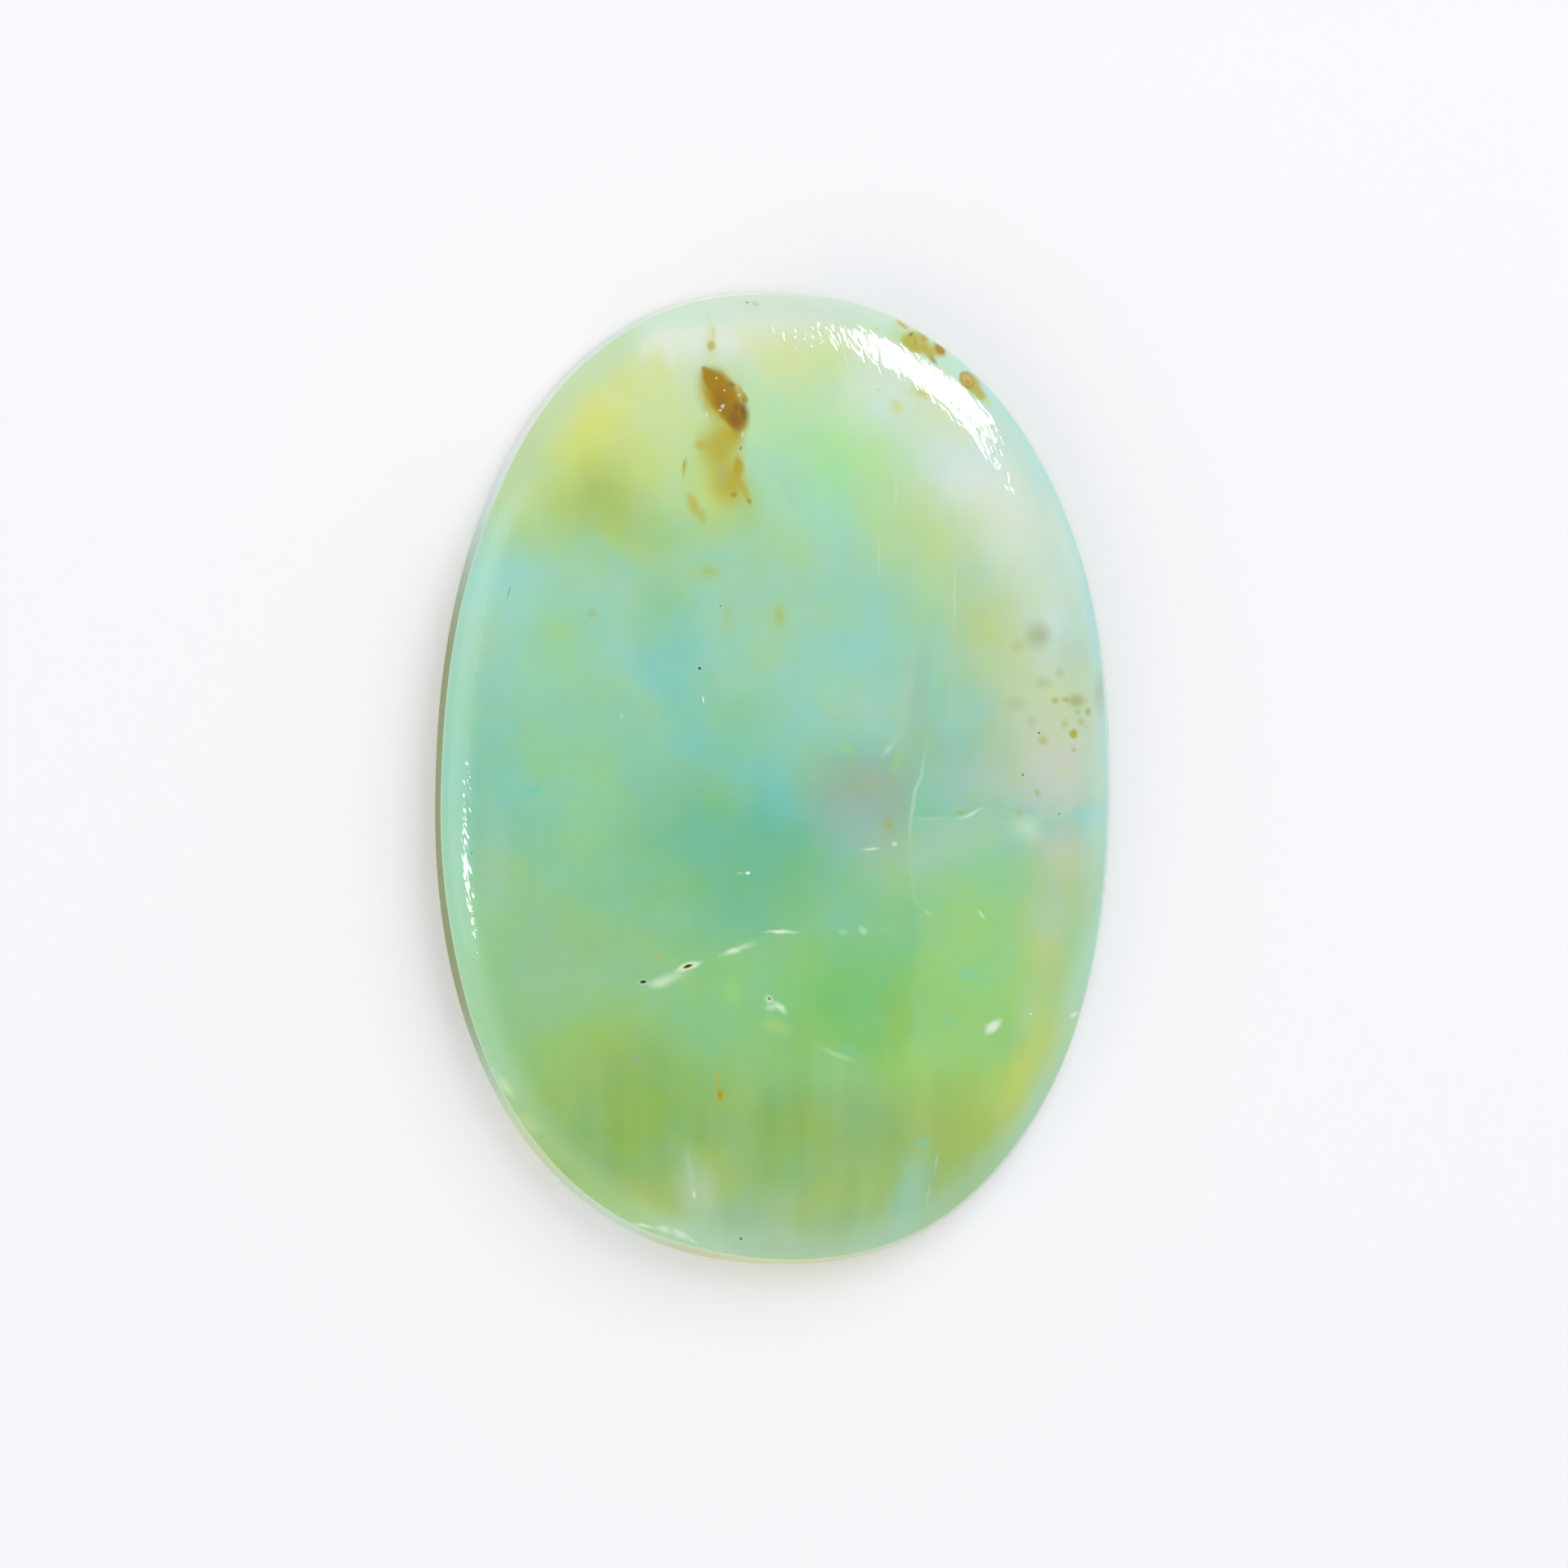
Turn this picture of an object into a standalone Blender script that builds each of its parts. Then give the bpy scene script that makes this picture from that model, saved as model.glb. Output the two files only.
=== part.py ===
"""A flat-backed oval opal cabochon, ground and polished from one piece of translucent green opal.

Metres, +Z up. The flat back lies on Z = 0 with the stone's long axis along Y.
From the back up the stone has a narrow bevel, a girdle wall that leans in a little,
a crisp crest, a rounded shoulder and a low dome.
"""

import math

import bmesh
import bpy
from mathutils import Vector

# Driving dimensions
LENGTH = 0.0500
WIDTH = 0.0348
BACK_BEVEL = 0.0003
GIRDLE_HEIGHT = 0.0019
GIRDLE_TAPER = math.radians(9)
CREST_SLOPE = math.radians(56)
SHOULDER_WIDTH = 0.0026
DOME_RISE = 0.0009

# Shape of the oval outline
OVAL_POWER = 2.25  # 2 is a true ellipse, and more is fuller at the four corners
EGG = 0.0055  # the lower half is ground a touch fuller than the upper half
LEAN = 0.0040  # the four quarters were ground by hand and don't quite match

# How finely the solid is faceted
OUTLINE_POINTS = 120
SHOULDER_STEPS = 7
DOME_STEPS = 8
CREASE_ANGLE = math.radians(25)

# Finish
OPAL_GREEN = (0.33, 0.62, 0.44, 1.0)
OPAL_ROUGHNESS = 0.08


def clear_scene():
    for old in list(bpy.data.objects):
        bpy.data.objects.remove(old)


def opal_material():
    material = bpy.data.materials.new("polished_opal")
    material.use_nodes = True
    shader = material.node_tree.nodes["Principled BSDF"]
    shader.inputs["Base Color"].default_value = OPAL_GREEN
    shader.inputs["Roughness"].default_value = OPAL_ROUGHNESS
    shader.inputs["Metallic"].default_value = 0.0
    return material


def raw_oval(turn):
    """A point of the hand-ground oval at an angle, with half-axes of 1."""
    across, along = math.cos(turn), math.sin(turn)
    reach = (abs(across) ** OVAL_POWER + abs(along) ** OVAL_POWER) ** (-1 / OVAL_POWER)
    reach *= 1 - EGG * math.sin(3 * turn) + LEAN * math.sin(4 * turn)
    return Vector((across * reach, along * reach))


def oval_outline():
    """The outline at the back bevel's upper edge, exactly WIDTH by LENGTH and centred."""
    turns = [2 * math.pi * k / OUTLINE_POINTS for k in range(OUTLINE_POINTS)]
    raw = [raw_oval(turn) for turn in turns]
    low = Vector((min(p.x for p in raw), min(p.y for p in raw)))
    high = Vector((max(p.x for p in raw), max(p.y for p in raw)))
    middle, size = (low + high) / 2, high - low
    return [
        Vector(((p.x - middle.x) * WIDTH / size.x, (p.y - middle.y) * LENGTH / size.y))
        for p in raw
    ]


def moved_in(outline, distance):
    """The outline moved towards the inside by the same distance all the way round."""
    moved = []
    for k, point in enumerate(outline):
        along = outline[(k + 1) % len(outline)] - outline[k - 1]
        inward = Vector((-along.y, along.x)).normalized()
        moved.append(point + inward * distance)
    return moved


def girdle_sections():
    """(inset, height) of the back's edge, the bevel's upper edge and the crest."""
    crest_inset = GIRDLE_HEIGHT * math.tan(GIRDLE_TAPER)
    crest_height = BACK_BEVEL + GIRDLE_HEIGHT
    return [(BACK_BEVEL, 0.0), (0.0, BACK_BEVEL), (crest_inset, crest_height)]


def shoulder_sections():
    """(inset, height) along the arc from the crest to the foot of the dome."""
    crest_inset, crest_height = girdle_sections()[-1]
    dome_slope = math.atan(4 * DOME_RISE / (WIDTH - 2 * (crest_inset + SHOULDER_WIDTH)))
    radius = SHOULDER_WIDTH / (math.sin(CREST_SLOPE) - math.sin(dome_slope))
    sections = []
    for step in range(1, SHOULDER_STEPS + 1):
        slope = CREST_SLOPE + (dome_slope - CREST_SLOPE) * step / SHOULDER_STEPS
        inset = crest_inset + radius * (math.sin(CREST_SLOPE) - math.sin(slope))
        height = crest_height + radius * (math.cos(slope) - math.cos(CREST_SLOPE))
        sections.append((inset, height))
    return sections


def add_ring(mesh, points, height):
    """A closed loop of edges through the points at one height."""
    corners = [mesh.verts.new((p.x, p.y, height)) for p in points]
    return [mesh.edges.new((corners[k - 1], corners[k])) for k in range(len(corners))]


def skin(mesh, lower, upper):
    bmesh.ops.bridge_loops(mesh, edges=lower + upper)


def cap(mesh, ring):
    """A flat face across a ring."""
    return bmesh.ops.edgeloop_fill(mesh, edges=ring)["faces"]


def build_cabochon():
    """The whole stone as one closed solid, raised ring by ring from its flat back."""
    mesh = bmesh.new()
    outline = oval_outline()
    sections = girdle_sections() + shoulder_sections()
    rings = [add_ring(mesh, moved_in(outline, inset), height) for inset, height in sections]
    dome_foot_inset, dome_foot = sections[-1]
    foot_oval = moved_in(outline, dome_foot_inset)
    for step in range(1, DOME_STEPS):
        share = 1 - step / DOME_STEPS
        height = dome_foot + DOME_RISE * (1 - share**2)
        rings.append(add_ring(mesh, [p * share for p in foot_oval], height))
    for lower, upper in zip(rings, rings[1:]):
        skin(mesh, lower, upper)
    cap(mesh, rings[0])
    top = cap(mesh, rings[-1])
    apex = bmesh.ops.poke(mesh, faces=top)["verts"][0]
    apex.co = (0, 0, dome_foot + DOME_RISE)
    bmesh.ops.recalc_face_normals(mesh, faces=mesh.faces)
    data = bpy.data.meshes.new("opal_cabochon")
    mesh.to_mesh(data)
    mesh.free()
    data.shade_smooth()
    data.set_sharp_from_angle(angle=CREASE_ANGLE)
    data.materials.append(opal_material())
    stone = bpy.data.objects.new("opal_cabochon", data)
    bpy.context.scene.collection.objects.link(stone)


clear_scene()
build_cabochon()
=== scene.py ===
# %% [markdown]
# # A polished green opal
#
# A cabochon is a stone with a flat back and a smooth, low dome. This one is an oval of
# translucent green opal, 50 mm long, clouded with milky, lemon and olive zones and
# speckled with brown iron stains. The imported solid gives its width, length and height.
# This lesson makes the polished surface over that solid and colours it in the shader.

# %% Load the imported stone
import math

import bmesh
import bpy
from mathutils import Matrix, Quaternion, Vector, noise
from mathutils.bvhtree import BVHTree


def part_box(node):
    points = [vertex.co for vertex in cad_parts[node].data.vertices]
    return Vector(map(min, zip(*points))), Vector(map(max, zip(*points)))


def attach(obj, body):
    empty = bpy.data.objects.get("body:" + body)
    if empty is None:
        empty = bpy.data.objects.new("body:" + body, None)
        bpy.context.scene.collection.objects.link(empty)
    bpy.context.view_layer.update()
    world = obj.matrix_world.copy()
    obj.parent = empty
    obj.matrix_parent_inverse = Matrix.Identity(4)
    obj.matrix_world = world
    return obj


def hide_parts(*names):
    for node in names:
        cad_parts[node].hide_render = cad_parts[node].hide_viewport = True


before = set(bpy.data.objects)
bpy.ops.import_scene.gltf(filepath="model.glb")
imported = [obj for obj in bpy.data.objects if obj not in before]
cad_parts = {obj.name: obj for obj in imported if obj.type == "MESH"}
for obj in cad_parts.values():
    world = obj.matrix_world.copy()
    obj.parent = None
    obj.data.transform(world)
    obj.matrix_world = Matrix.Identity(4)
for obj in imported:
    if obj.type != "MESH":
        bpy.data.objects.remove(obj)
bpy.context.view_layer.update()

MM = 0.001
stone_low, stone_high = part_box("opal_cabochon")
width = stone_high.x - stone_low.x
length = stone_high.y - stone_low.y
height = stone_high.z
print(f"stone: {width / MM:.1f} x {length / MM:.1f} x {height / MM:.1f} mm")

# %% [markdown]
# ## The outline
#
# The oval was ground by eye against a flat wheel. It is a little fuller than an ellipse
# at its corners, its lower half is a touch broader than its upper half, and its four
# quarters don't quite match. A formula says all of that with three numbers, so the
# outline needs no list of points.

# %% The oval outline
OVAL_POWER = 2.25
EGG = 0.0055
LEAN = 0.0040
AROUND = 420


def raw_oval(turn):
    """A point of the hand-ground oval at an angle, with half-axes of 1."""
    across, along = math.cos(turn), math.sin(turn)
    reach = (abs(across) ** OVAL_POWER + abs(along) ** OVAL_POWER) ** (-1 / OVAL_POWER)
    reach *= 1 - EGG * math.sin(3 * turn) + LEAN * math.sin(4 * turn)
    return Vector((across * reach, along * reach))


def oval_outline():
    turns = [2 * math.pi * k / AROUND for k in range(AROUND)]
    raw = [raw_oval(turn) for turn in turns]
    low = Vector((min(p.x for p in raw), min(p.y for p in raw)))
    high = Vector((max(p.x for p in raw), max(p.y for p in raw)))
    middle, size = (low + high) / 2, high - low
    return [
        Vector(((p.x - middle.x) * width / size.x, (p.y - middle.y) * length / size.y))
        for p in raw
    ]


outline = oval_outline()
inward = []
for k in range(AROUND):
    along = outline[(k + 1) % AROUND] - outline[k - 1]
    inward.append(Vector((-along.y, along.x)).normalized())
print(f"outline: {len(outline)} points")

# %% [markdown]
# ## The profile, from the back to the dome
#
# A cutter grinds the flat back first, then the girdle wall, which leans in by a few
# degrees, and last the shoulder and the dome. The edge of the back is bevelled so that
# it doesn't chip. The profile is a row of places, each an inset from the outline and a
# height. Sanding breaks every corner, so each corner becomes a tiny arc.

# %% The profile
BACK_BEVEL = 0.3 * MM
GIRDLE_HEIGHT = 1.9 * MM
GIRDLE_TAPER = math.radians(9)
CREST_SLOPE = math.radians(56)
SHOULDER_WIDTH = 2.6 * MM
DOME_RISE = 0.9 * MM
CORNER_REACH = 0.055 * MM
BACK_MARGIN = 2.0 * MM
SHOULDER_STEPS = 22
WALL_SHARES = (0.15, 0.3, 0.5, 0.7, 0.85)
ARC_SHARES = (0, 0.35, 0.65, 1)

crest_inset = GIRDLE_HEIGHT * math.tan(GIRDLE_TAPER)
crest_height = BACK_BEVEL + GIRDLE_HEIGHT
foot_inset = crest_inset + SHOULDER_WIDTH
dome_slope = math.atan(4 * DOME_RISE / (width - 2 * foot_inset))
shoulder_radius = SHOULDER_WIDTH / (math.sin(CREST_SLOPE) - math.sin(dome_slope))
dome_foot = height - DOME_RISE


def shoulder_place(share):
    """The inset and height of a place on the shoulder, from the crest at 0 to the dome at 1."""
    slope = CREST_SLOPE + (dome_slope - CREST_SLOPE) * share
    inset = crest_inset + shoulder_radius * (math.sin(CREST_SLOPE) - math.sin(slope))
    rise = shoulder_radius * (math.cos(slope) - math.cos(CREST_SLOPE))
    return Vector((inset, crest_height + rise))


def broken_corner(before, corner, after):
    """Four places of the small arc that sanding makes of a corner."""
    start = corner + (before - corner).normalized() * CORNER_REACH
    end = corner + (after - corner).normalized() * CORNER_REACH
    return [start.lerp(corner, t).lerp(corner.lerp(end, t), t) for t in ARC_SHARES]


def stone_profile():
    on_back = Vector((BACK_MARGIN, 0))
    back_edge = Vector((BACK_BEVEL, 0))
    bevel_top = Vector((0, BACK_BEVEL))
    crest = Vector((crest_inset, crest_height))
    shoulder = [shoulder_place(step / SHOULDER_STEPS) for step in range(1, SHOULDER_STEPS + 1)]
    wall = [bevel_top.lerp(crest, share) for share in WALL_SHARES]
    return [
        on_back,
        *broken_corner(on_back, back_edge, bevel_top),
        *broken_corner(back_edge, bevel_top, crest),
        *wall,
        *broken_corner(bevel_top, crest, shoulder[0]),
        *shoulder,
    ]


profile = stone_profile()
print(f"profile: {len(profile)} places, shoulder arc of {shoulder_radius / MM:.2f} mm radius")

# %% [markdown]
# ## The skin of the stone
#
# The profile is carried round the outline as rings, and the rings are joined into one
# closed mesh. A hand-held stone is never ground quite evenly, so the crest wanders by
# some hundredths of a millimetre, and the dome is wavy by a few thousandths: too little
# to see as shape, enough to bend a reflection.

# %% Rings
CREST_WANDER = 0.05 * MM
WANDER_WAVES = [
    # waves around the stone, start, share
    (3, 1.1, 1.0),
    (7, 2.0, 0.7),
    (13, 0.0, 0.4),
]
DOME_WAVE = 0.004 * MM
WAVE_LENGTH = 6.0 * MM
DOME_STEPS = 36


def crest_wander(turn):
    return CREST_WANDER * sum(
        share * math.sin(waves * turn + start) for waves, start, share in WANDER_WAVES
    )


def unevenness(inset, level):
    """How much of the crest's wander reaches a place: none at the back or at the dome."""
    if level < crest_height:
        return level / crest_height
    return 1 - (inset - crest_inset) / SHOULDER_WIDTH


def profile_ring(mesh, inset, level):
    corners = []
    for k in range(AROUND):
        wander = unevenness(inset, level) * crest_wander(2 * math.pi * k / AROUND)
        place = outline[k] + inward[k] * (inset + wander)
        corners.append(mesh.verts.new((place.x, place.y, level)))
    return corners


def dome_ring(mesh, share):
    level = dome_foot + DOME_RISE * (1 - share**2)
    corners = []
    for k in range(AROUND):
        place = (outline[k] + inward[k] * foot_inset) * share
        wave = noise.noise(Vector((place.x, place.y, 0)) / WAVE_LENGTH)
        corners.append(mesh.verts.new((place.x, place.y, level + DOME_WAVE * wave * (1 - share))))
    return corners


def join_rings(mesh, lower, upper):
    for k in range(AROUND):
        mesh.faces.new((lower[k - 1], lower[k], upper[k], upper[k - 1]))


def close_ring(mesh, ring, centre, facing_up):
    for k in range(AROUND):
        corners = (ring[k - 1], ring[k], centre)
        mesh.faces.new(corners if facing_up else reversed(corners))


def stone_mesh():
    mesh = bmesh.new()
    rings = [profile_ring(mesh, *place) for place in profile]
    rings += [dome_ring(mesh, 1 - step / DOME_STEPS) for step in range(1, DOME_STEPS)]
    for lower, upper in zip(rings, rings[1:]):
        join_rings(mesh, lower, upper)
    close_ring(mesh, rings[0], mesh.verts.new((0, 0, 0)), False)
    close_ring(mesh, rings[-1], mesh.verts.new((0, 0, height)), True)
    return mesh


stone = stone_mesh()
print(f"rings joined: {len(stone.faces)} faces")

# %% [markdown]
# ## Pits and chips
#
# Where a bubble or a grain of iron stain was cut through, the polish leaves a tiny pit,
# and the sharp edges have lost a few scales. They are real hollows, so they are real
# geometry: the mesh is made finer round each one, and then scooped out.

# %% Scoops
PITS = [
    # across, up, lean in degrees, half length, half width, depth, all in mm but the lean
    (-6.98, -10.52, 3, 0.15, 0.06, 0.14),
    (-4.72, -9.73, 18, 0.24, 0.085, 0.22),
    (-2.52, -8.96, 15, 0.16, 0.05, 0.05),
    (-0.62, -11.36, -10, 0.12, 0.09, 0.12),
    (0.02, -7.98, 2, 0.50, 0.05, 0.06),
    (-4.12, 5.30, -60, 0.10, 0.04, 0.09),
    (-13.80, 9.30, 80, 0.40, 0.025, 0.04),
    (13.27, 2.20, 0, 0.055, 0.045, 0.08),
    (12.43, 0.05, -50, 0.09, 0.035, 0.08),
    (14.30, -1.93, 0, 0.05, 0.04, 0.08),
    (-1.90, -23.60, -50, 0.14, 0.06, 0.10),
    (-15.65, -4.00, 0, 0.05, 0.03, 0.06),
    (-3.06, 8.57, 0, 0.04, 0.04, 0.06),
    (-2.05, 16.60, 75, 0.12, 0.03, 0.06),
    (5.02, 19.70, 0, 0.04, 0.04, 0.06),
    (-0.95, -4.45, 0, 0.05, 0.05, 0.05),
]
CHIPS = [
    # across, up, level, lean, half length, half width, depth, all in mm but the lean
    (15.32, -12.2, 2.3, 30, 0.34, 0.20, 0.10),
    (-1.55, 24.55, 2.3, 5, 0.30, 0.10, 0.07),
    (-0.95, 24.60, 2.3, -10, 0.16, 0.08, 0.05),
    (-5.6, -23.3, 2.5, -14, 0.34, 0.16, 0.06),
    (-5.1, -23.5, 2.6, -18, 0.26, 0.14, 0.05),
    (-4.6, -23.55, 2.6, -4, 0.30, 0.13, 0.05),
    (-13.8, -15.6, 2.2, -60, 0.22, 0.10, 0.05),
    (-17.0, 2.6, 2.2, 90, 0.20, 0.08, 0.05),
    (16.9, 6.0, 0.15, 90, 0.45, 0.22, 0.10),
    (10.9, -19.9, 0.15, 40, 0.35, 0.20, 0.09),
    (-10.6, 20.2, 0.15, 35, 0.40, 0.20, 0.09),
    (-16.9, -6.0, 0.2, 85, 0.30, 0.18, 0.08),
    (3.5, 24.8, 0.15, -5, 0.30, 0.18, 0.08),
]
FINEST = 0.03 * MM
EDGES_PER_HALF = 3
FINE_REACH = 1.3
SCOOP_REACH = 1.4
RAGGED_SHARE = 0.3
RAGGED_GRAIN = 0.8
SCOOP_POWER = 0.6


def refine(mesh, centre, reach, finest):
    """Split the edges round a place until they are as short as the detail needs."""
    while True:
        near = [v for v in mesh.verts if (v.co - centre).length < reach]
        edges = dict.fromkeys(e for v in near for e in v.link_edges if e.calc_length() > finest)
        if not edges:
            return
        bmesh.ops.subdivide_edges(mesh, edges=list(edges), cuts=1, use_grid_fill=True)


def scoop(mesh, centre, outward, lean, half_long, half_wide, depth):
    """Push a ragged oval hollow into the skin."""
    lean = math.radians(lean)
    flat = Vector((math.cos(lean), math.sin(lean), 0))
    beside = outward.cross(flat).normalized()
    along = beside.cross(outward)
    for vertex in mesh.verts:
        away = vertex.co - centre
        if away.length > half_long * SCOOP_REACH:
            continue
        ragged = 1 + RAGGED_SHARE * noise.noise(vertex.co / (half_wide * RAGGED_GRAIN))
        spread = (away.dot(along) / half_long) ** 2 + (away.dot(beside) / half_wide) ** 2
        inside = 1 - spread * ragged
        if inside > 0:
            vertex.co -= outward * depth * inside**SCOOP_POWER


def cut_hollows(mesh):
    skin = BVHTree.FromBMesh(mesh)
    hollows = []
    for across, up, *rest in PITS:
        centre, outward, *_ = skin.ray_cast(Vector((across * MM, up * MM, 1)), Vector((0, 0, -1)))
        hollows.append((centre, outward, *rest))
    for across, up, level, *rest in CHIPS:
        centre, outward, *_ = skin.find_nearest(Vector((across, up, level)) * MM)
        hollows.append((centre, outward, *rest))
    for centre, outward, lean, half_long, half_wide, depth in hollows:
        fine = max(FINEST, half_wide * MM / EDGES_PER_HALF)
        refine(mesh, centre, half_long * FINE_REACH * MM, fine)
        scoop(mesh, centre, outward, lean, half_long * MM, half_wide * MM, depth * MM)


cut_hollows(stone)
print(f"hollows cut: {len(PITS) + len(CHIPS)}, now {len(stone.faces)} faces")

# %% [markdown]
# ## One piece
#
# The stone is one solid lump, so it is one mesh with nothing inside it. Round a hollow,
# where split edges meet whole ones, a face can have many corners and bend, so those faces
# are cut into triangles. Smooth shading then hides the facets, as the polish does.

# %% The finished piece
def finished_piece(mesh):
    data = bpy.data.meshes.new("opal_skin")
    bmesh.ops.triangulate(mesh, faces=[f for f in mesh.faces if len(f.verts) > 4])
    mesh.normal_update()
    mesh.to_mesh(data)
    mesh.free()
    data.shade_smooth()
    piece = bpy.data.objects.new("polished_opal", data)
    bpy.context.scene.collection.objects.link(piece)
    return piece


opal = finished_piece(stone)
print(f"polished_opal: {len(opal.data.polygons)} faces")

# %% [markdown]
# ## Colours of the opal
#
# Common opal is silica with water in it, clear in itself and clouded by what it took up:
# copper gives the blue and the green, iron the lemon, the olive and the brown. The names
# below are those of the zones and stains that each colour stands for, and each colour is
# written once, as sRGB hex, so that a mark only has to name it.

# %% Palette
# some colours also serve as painted light: the pale rim, the girdle wall, glints and pit shade
PALETTE = {
    "milk": "e4ecdf",
    "cool milk": "d6e5da",
    "blush": "c8cdbf",
    "pale spring": "c8e2b4",
    "pale sage": "b0ceb0",
    "pale aqua": "b6dcd8",
    "seafoam": "9ed8c4",
    "mint": "98cfb0",
    "aqua": "7ec8b8",
    "bright aqua": "84d2d2",
    "bright teal": "74cab0",
    "teal": "6ab88e",
    "fern": "94d094",
    "meadow": "88c680",
    "leaf": "76c26c",
    "pasture": "a4ca78",
    "meadow lime": "8cc25c",
    "apple": "9fe297",
    "pear": "bbd78f",
    "lime": "9dd272",
    "lemon": "d8e188",
    "straw": "bccd86",
    "chartreuse": "c2d368",
    "olive": "a6bd58",
    "moss": "84b04e",
    "wall olive": "74862c",
    "sage grey": "9abca2",
    "wedge blue": "90c2b0",
    "mauve": "93aea0",
    "lichen": "a2b284",
    "flax": "ccd78c",
    "ochre": "b6ae38",
    "mustard": "b5a11c",
    "honey": "c4ae58",
    "gold": "a27e02",
    "amber": "94660c",
    "rust": "825a14",
    "umber": "5a3c10",
    "fleck": "a8ac42",
    "rim mint": "a8e0cc",
    "rim spring": "b2deb2",
    "rim lime": "a8cc80",
    "rim sage": "a6c89a",
    "rim grey": "c8dccf",
    "rim blue": "aadada",
    "rim aqua": "b0dcd2",
    "rim straw": "c4d8a0",
    "cream": "dfe0b4",
    "feather": "d8eed2",
    "snow": "f2f6ee",
    # painted shade: the dark of the pits' hollows, taken also as polishing dirt
    "shade and grime": "2a400e",
}


def linear(hex_colour):
    """A colour written as sRGB hex, as the linear values that a shader takes."""
    values = []
    for k in (0, 2, 4):
        value = int(hex_colour[k : k + 2], 16) / 255
        values.append(value / 12.92 if value <= 0.04045 else ((value + 0.055) / 1.055) ** 2.4)
    return (*values, 1.0)


print(f"palette: {len(PALETTE)} colours")

# %% [markdown]
# ## Places in the stone
#
# The colours sit in the stone itself, so the material is written in the stone's own
# millimetres: across to the right, up along its length, and level above its back. Real
# clouds have wandering edges. A noise of a known size therefore pushes the places about
# before a mark is laid on them: the flow for clouds, and the finer ripple for stains.

# %% Nodes and places
def add(tree, kind, sockets=None, **settings):
    """Add a node with its settings, and give its sockets a value or a link."""
    node = tree.nodes.new(kind)
    for name, value in settings.items():
        setattr(node, name, value)
    for name, value in (sockets or {}).items():
        if isinstance(value, bpy.types.NodeSocket):
            tree.links.new(value, node.inputs[name])
        else:
            node.inputs[name].default_value = value
    return node


material = bpy.data.materials.new("polished_common_opal")
material.use_nodes = True
tree = material.node_tree
shader = tree.nodes["Principled BSDF"]

place = add(tree, "ShaderNodeTexCoord").outputs["Object"]
in_mm = add(tree, "ShaderNodeVectorMath", {0: place, "Scale": 1 / MM}, operation="SCALE").outputs[0]
ACROSS, UP, LEVEL = (1.0, 0.0, 0.0), (0.0, 1.0, 0.0), (0.0, 0.0, 1.0)


def drifted(start, wave_mm, stretch, reach_mm, detail):
    """Places pushed about by a noise of a known size, so that edges wander naturally."""
    squeezed = add(
        tree, "ShaderNodeVectorMath",
        {0: start, 1: (1 / wave_mm, 1 / (wave_mm * stretch), 1 / wave_mm)},
        operation="MULTIPLY",
    ).outputs[0]
    cloud = add(
        tree, "ShaderNodeTexNoise", {"Vector": squeezed, "Scale": 1.0, "Detail": detail},
    ).outputs["Color"]
    centred = add(
        tree, "ShaderNodeVectorMath", {0: cloud, 1: (0.5, 0.5, 0.5)}, operation="SUBTRACT",
    ).outputs[0]
    return add(
        tree, "ShaderNodeVectorMath",
        {0: centred, 1: (2 * reach_mm, 2 * reach_mm, 2 * reach_mm), 2: start},
        operation="MULTIPLY_ADD",
    ).outputs[0]


places = {
    "flow": drifted(in_mm, wave_mm=4.6, stretch=2.2, reach_mm=1.7, detail=3.0),
    "ripple": drifted(in_mm, wave_mm=0.6, stretch=1.4, reach_mm=0.12, detail=2.0),
}
print(f"places: {', '.join(places)}")

# %% [markdown]
# ## Sheets in the stone
#
# Three old cracks have healed into thin sheets that cut through the stone: a veil that
# hangs down the right of the dome, a crack across to the right rim, and a break across
# the middle. The colour changes from one side of each to the other. Each sheet is a
# smooth curve through a few corners, and its offset says how far a place is beyond it.

# %% Sheets
VEIL = [(8.35, 10.5), (8.0, 8.6), (7.8, 6.8), (7.75, 4.5), (7.5, 2.1), (7.2, 0.2), (6.8, -1.2)]
VEIL += [(6.6, -2.9), (6.6, -4.4), (6.85, -6.2), (7.1, -8.3), (6.75, -9.7), (6.7, -14.5)]
CRACK = [(6.6, -2.2), (8.9, -2.15), (9.9, -1.95), (10.6, -1.65), (11.6, -1.9), (13.9, -2.1)]
CRACK += [(15.2, -1.7), (16.6, -1.5)]
BREAK = [(-7.2, -10.5), (-5.6, -10.3), (-4.7, -9.75), (-2.4, -8.95), (-1.1, -8.2), (1.0, -7.95)]
BREAK += [(4.2, -7.95), (6.6, -8.6)]


def sheet_offset(corners, upright):
    """How far a place is beyond a sheet: to its right if it is upright, or else above it."""
    along = [corner[1] if upright else corner[0] for corner in corners]
    off = [corner[0] if upright else corner[1] for corner in corners]
    run, rise = [
        add(
            tree, "ShaderNodeVectorMath", {0: places["ripple"], 1: axis}, operation="DOT_PRODUCT",
        ).outputs["Value"]
        for axis in ((UP, ACROSS) if upright else (ACROSS, UP))
    ]
    share = add(
        tree, "ShaderNodeMapRange", {"Value": run, "From Min": min(along), "From Max": max(along)},
        clamp=False,
    ).outputs[0]
    curve = add(tree, "ShaderNodeFloatCurve", {"Value": share})
    spots = sorted(
        ((a - min(along)) / (max(along) - min(along)), (o - min(off)) / (max(off) - min(off)))
        for a, o in zip(along, off)
    )
    points = curve.mapping.curves[0].points
    points[0].location, points[1].location = spots[0], spots[-1]
    for spot in spots[1:-1]:
        points.new(*spot)
    curve.mapping.update()
    route = add(
        tree, "ShaderNodeMapRange", {"Value": curve.outputs[0], "To Min": min(off), "To Max": max(off)},
        clamp=False,
    ).outputs[0]
    return add(tree, "ShaderNodeMath", {0: rise, 1: route}, operation="SUBTRACT").outputs[0]


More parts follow.
